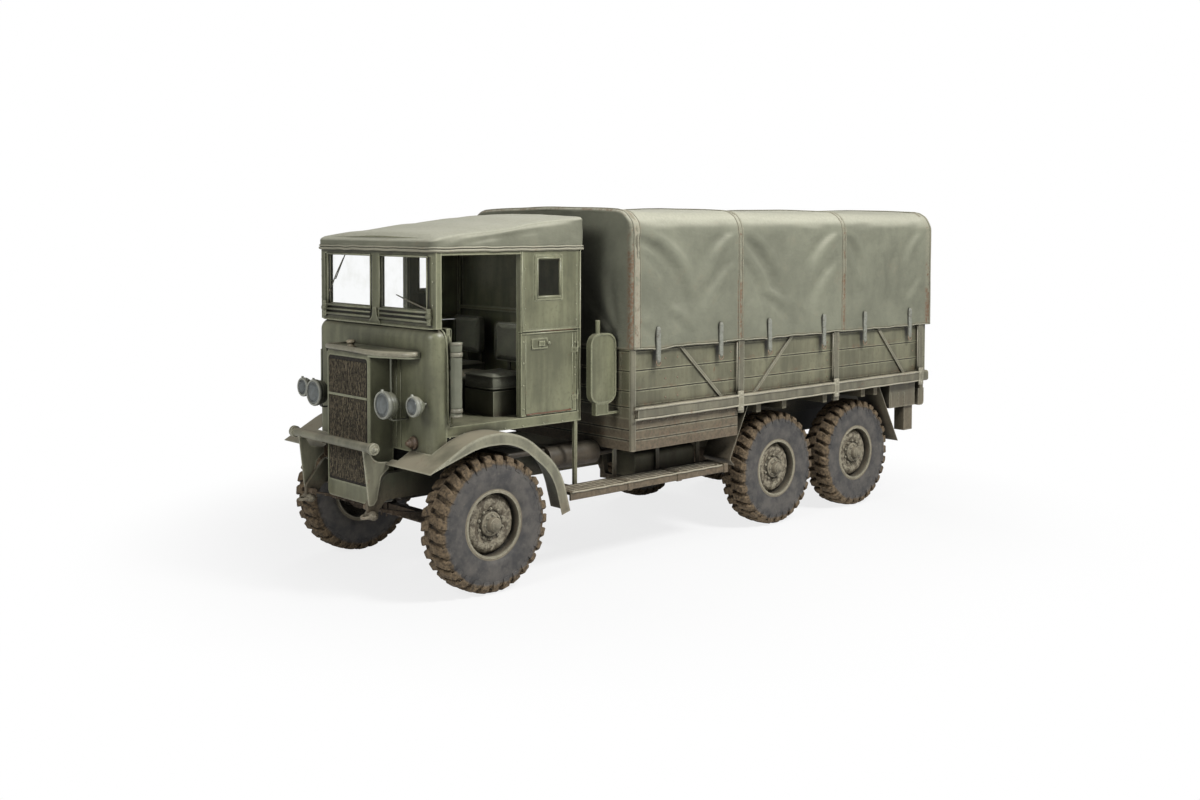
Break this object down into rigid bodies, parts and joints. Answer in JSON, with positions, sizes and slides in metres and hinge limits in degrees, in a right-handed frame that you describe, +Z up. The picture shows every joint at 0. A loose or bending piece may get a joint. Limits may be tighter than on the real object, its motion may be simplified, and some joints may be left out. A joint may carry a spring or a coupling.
{
  "type": "military cargo truck",
  "caption": "Forward-control army lorry with open-sided canvas-roofed cab, upright radiator, planked body under a hooped canvas tilt, and a rear driving bogie.",
  "frame": {"origin": "on the ground, midway along and across the bounding box", "axes": "front faces -Y, +X is the truck's left, +Z is up"},
  "size_m": [2.26, 6.645, 2.9977],
  "materials": {
    "painted_steel": "matt olive paint, dusty",
    "chassis_steel": "matt paint under mud",
    "grille": "dark core behind tan slats",
    "exhaust_iron": "brown scale",
    "glass": "clear, dusty at the edges",
    "canvas": "proofed cotton duck, grey-green",
    "rolled_canvas": "rolled side curtain",
    "webbing": "grey webbing",
    "seat_leathercloth": "worn leathercloth",
    "painted_wood": "painted planks, worn edges",
    "wheel_steel": "painted, muddy",
    "tyre": "dark rubber with dry mud"
  },
  "bodies": {
    "chassis": {"chassis_frame": "chassis_steel", "front_bumper": "painted_steel", "radiator_shell": "painted_steel", "radiator_core": "grille", "cab_cowl": "painted_steel", "bonnet_brow": "painted_steel", "windscreen_frame": "painted_steel", "windscreen_glass": "glass", "cab_floor": "painted_steel", "cab_rear_shell": "painted_steel", "roof_frame": "painted_steel", "cab_roof": "canvas", "door_curtains": "rolled_canvas", "cab_boxes": "painted_steel", "seat_cushions": "seat_leathercloth", "seat_backs": "seat_leathercloth", "steering_column": "painted_steel", "front_wings": "painted_steel", "running_boards": "painted_steel", "lamps": "painted_steel", "cargo_floor": "painted_wood", "body_runners": "painted_wood", "body_bearers": "painted_wood", "side_planks": "painted_wood", "side_framing": "painted_steel", "headboard": "painted_wood", "skirt_panels": "painted_wood", "tilt_hoops": "painted_steel", "tilt_canvas": "canvas", "tilt_straps": "webbing", "gate_hinges": "painted_steel", "bogie_mudguards": "painted_steel", "tail_fittings": "painted_steel", "fuel_tank": "painted_steel", "side_tank": "painted_steel", "powertrain": "chassis_steel", "exhaust": "exhaust_iron", "axles": "chassis_steel", "leaf_springs": "chassis_steel"},
    "tailgate": {"tailgate": "painted_wood"},
    "door_left": {"cab_door_left": "painted_steel"},
    "door_right": {"cab_door_right": "painted_steel"},
    "steering_wheel": {"steering_wheel": "painted_steel"},
    "steer_left": {"knuckle_left": "chassis_steel"},
    "steer_right": {"knuckle_right": "chassis_steel"},
    "track_rod": {"track_rod": "chassis_steel"},
    "road_wheel_front_left": {"wheel_front_left": "wheel_steel", "tyre_front_left": "tyre"},
    "road_wheel_front_right": {"wheel_front_right": "wheel_steel", "tyre_front_right": "tyre"},
    "road_wheel_mid_left": {"wheel_mid_left": "wheel_steel", "tyre_mid_left": "tyre"},
    "road_wheel_mid_right": {"wheel_mid_right": "wheel_steel", "tyre_mid_right": "tyre"},
    "road_wheel_rear_left": {"wheel_rear_left": "wheel_steel", "tyre_rear_left": "tyre"},
    "road_wheel_rear_right": {"wheel_rear_right": "wheel_steel", "tyre_rear_right": "tyre"}
  },
  "joints": [
    {"name": "tailgate_hinge", "type": "hinge", "parent": "chassis", "child": "tailgate", "pos_m": [0, 3.322, 1.222], "axis": [-1, 0, 0], "range_deg": [0, 175]},
    {"name": "door_left_hinge", "type": "hinge", "parent": "chassis", "child": "door_left", "pos_m": [0.839, -1.44, 1.64], "axis": [0, 0, 1], "range_deg": [0, 80]},
    {"name": "door_right_hinge", "type": "hinge", "parent": "chassis", "child": "door_right", "pos_m": [-0.839, -1.44, 1.64], "axis": [0, 0, -1], "range_deg": [0, 80]},
    {"name": "steer_left_kingpin", "type": "hinge", "parent": "chassis", "child": "steer_left", "pos_m": [0.745, -2.475, 0.535], "axis": [0, 0, 1], "range_deg": [-28, 28]},
    {"name": "steer_right_kingpin", "type": "hinge", "parent": "chassis", "child": "steer_right", "pos_m": [-0.745, -2.475, 0.535], "axis": [0, 0, 1], "range_deg": [-28, 28]},
    {"name": "track_rod_end", "type": "hinge", "parent": "steer_left", "child": "track_rod", "pos_m": [0.745, -2.305, 0.421], "axis": [0, 0, 1], "range_deg": [-28, 28]},
    {"name": "steering_wheel_turn", "type": "hinge", "parent": "chassis", "child": "steering_wheel", "pos_m": [-0.45, -2.32475, 1.94163], "axis": [0, 0.5, 0.866], "range_deg": [-336, 336]},
    {"name": "wheel_front_left_spin", "type": "hinge", "parent": "steer_left", "child": "road_wheel_front_left", "pos_m": [0.927, -2.475, 0.537], "axis": [1, 0, 0], "continuous": true},
    {"name": "wheel_front_right_spin", "type": "hinge", "parent": "steer_right", "child": "road_wheel_front_right", "pos_m": [-0.927, -2.475, 0.537], "axis": [1, 0, 0], "continuous": true},
    {"name": "wheel_mid_left_spin", "type": "hinge", "parent": "chassis", "child": "road_wheel_mid_left", "pos_m": [0.87, 0.965, 0.537], "axis": [1, 0, 0], "continuous": true},
    {"name": "wheel_mid_right_spin", "type": "hinge", "parent": "chassis", "child": "road_wheel_mid_right", "pos_m": [-0.87, 0.965, 0.537], "axis": [1, 0, 0], "continuous": true},
    {"name": "wheel_rear_left_spin", "type": "hinge", "parent": "chassis", "child": "road_wheel_rear_left", "pos_m": [0.87, 2.205, 0.537], "axis": [1, 0, 0], "continuous": true},
    {"name": "wheel_rear_right_spin", "type": "hinge", "parent": "chassis", "child": "road_wheel_rear_right", "pos_m": [-0.87, 2.205, 0.537], "axis": [1, 0, 0], "continuous": true}
  ],
  "couplings": [
    {"joint": "steer_right_kingpin", "follows": "steer_left_kingpin", "ratio": 1},
    {"joint": "track_rod_end", "follows": "steer_left_kingpin", "ratio": -1},
    {"joint": "steering_wheel_turn", "follows": "steer_left_kingpin", "ratio": 12}
  ]
}
